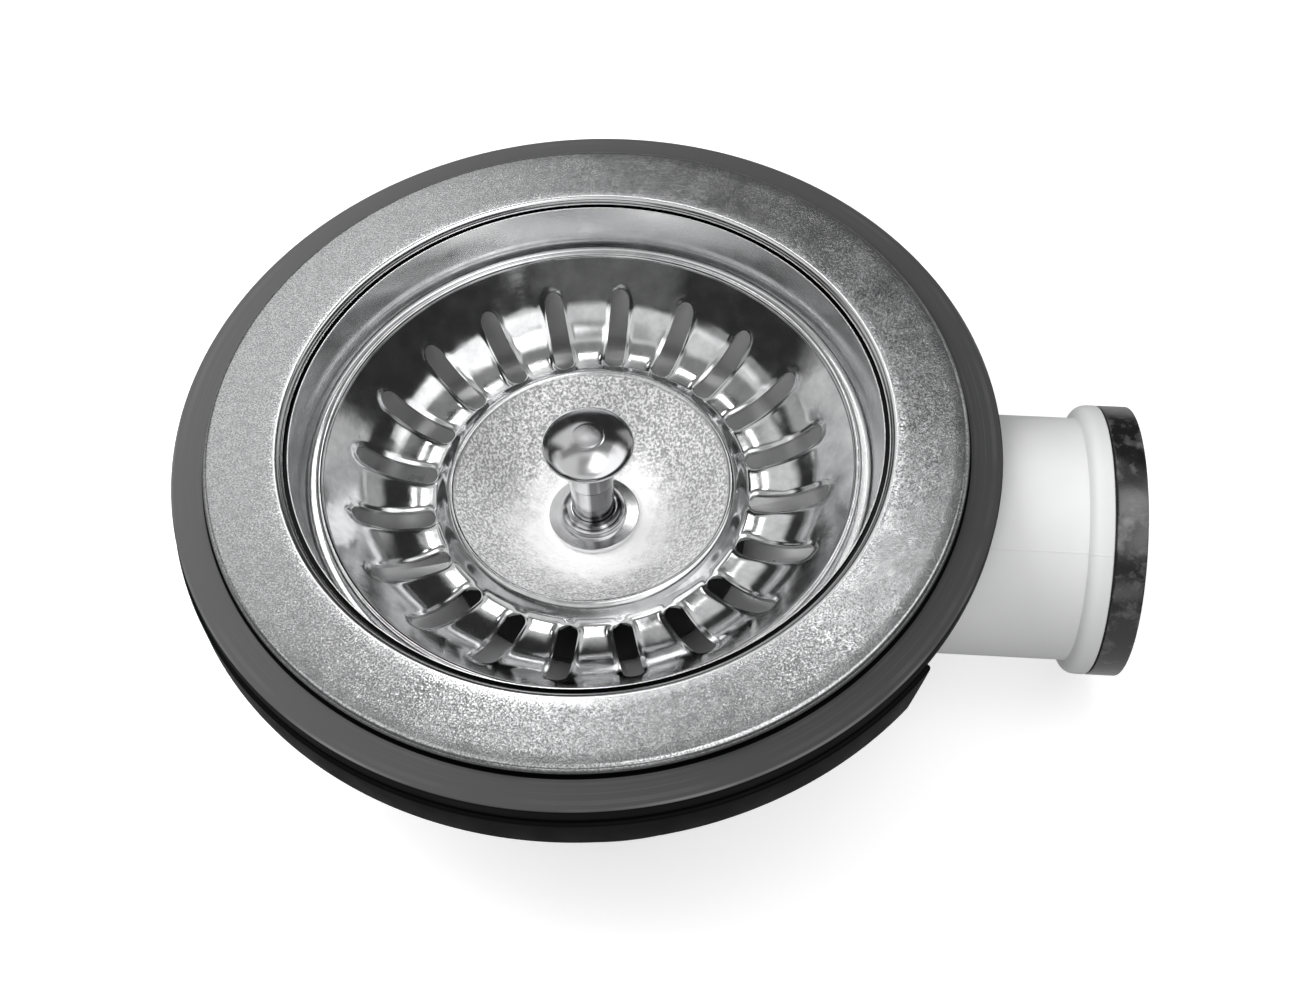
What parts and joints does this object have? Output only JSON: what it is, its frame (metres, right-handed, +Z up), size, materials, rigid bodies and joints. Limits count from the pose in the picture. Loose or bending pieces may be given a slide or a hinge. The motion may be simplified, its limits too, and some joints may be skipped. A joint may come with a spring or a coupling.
{
  "type": "sink basket drain",
  "caption": "Kitchen sink drain with a steel flange, a lift-out slotted strainer basket with a pull knob, a rubber gasket, a plastic housing and a side outlet pipe.",
  "frame": {"origin": "centre of the housing's flat underside, on the drain's vertical axis", "axes": "+Z up along the drain's axis towards the flange, +X along the side outlet"},
  "size_m": [0.1459, 0.125, 0.0495],
  "materials": {
    "flange_steel": "satin pressed stainless steel with a fine glittering grain",
    "basket_steel": "polished pressed stainless steel, grained on the dished floor",
    "knob_chrome": "bright turned and polished",
    "fastener_steel": "plain turned stainless steel",
    "brass": "turned brass",
    "rubber": "matte black rubber",
    "gasket_rubber": "dark grey moulded rubber with light wear marks",
    "housing_plastic": "black moulded plastic",
    "pipe_plastic": "light grey-white moulded plastic, slightly glossy",
    "nylon": "natural nylon"
  },
  "bodies": {
    "drain": {"strainer_bowl": "flange_steel", "flange_seal": "rubber", "body_gasket": "gasket_rubber", "waste_housing": "housing_plastic", "housing_floor": "housing_plastic", "outlet_pipe": "pipe_plastic", "outlet_o_ring": "rubber", "outlet_seal": "gasket_rubber", "screw_cup": "flange_steel", "clamp_screw": "fastener_steel", "clamp_washer": "fastener_steel", "screw_seal_washer": "rubber", "brass_insert": "brass"},
    "grip": {"grip_bush": "nylon"},
    "basket": {"basket_shell": "basket_steel", "stem_collar": "knob_chrome", "stem": "knob_chrome", "knob_sleeve": "knob_chrome", "pull_knob": "knob_chrome", "basket_seal": "rubber", "seal_plate": "fastener_steel", "stem_nut": "fastener_steel", "grip_plug": "nylon", "grip_ring": "rubber"}
  },
  "joints": [
    {"name": "basket_turn", "type": "hinge", "parent": "drain", "child": "grip", "pos_m": [0, 0, 0.0165], "axis": [0, 0, 1], "continuous": true},
    {"name": "basket_lift", "type": "slide", "parent": "grip", "child": "basket", "axis": [0, 0, 1], "range_m": [0, 0.045]}
  ]
}
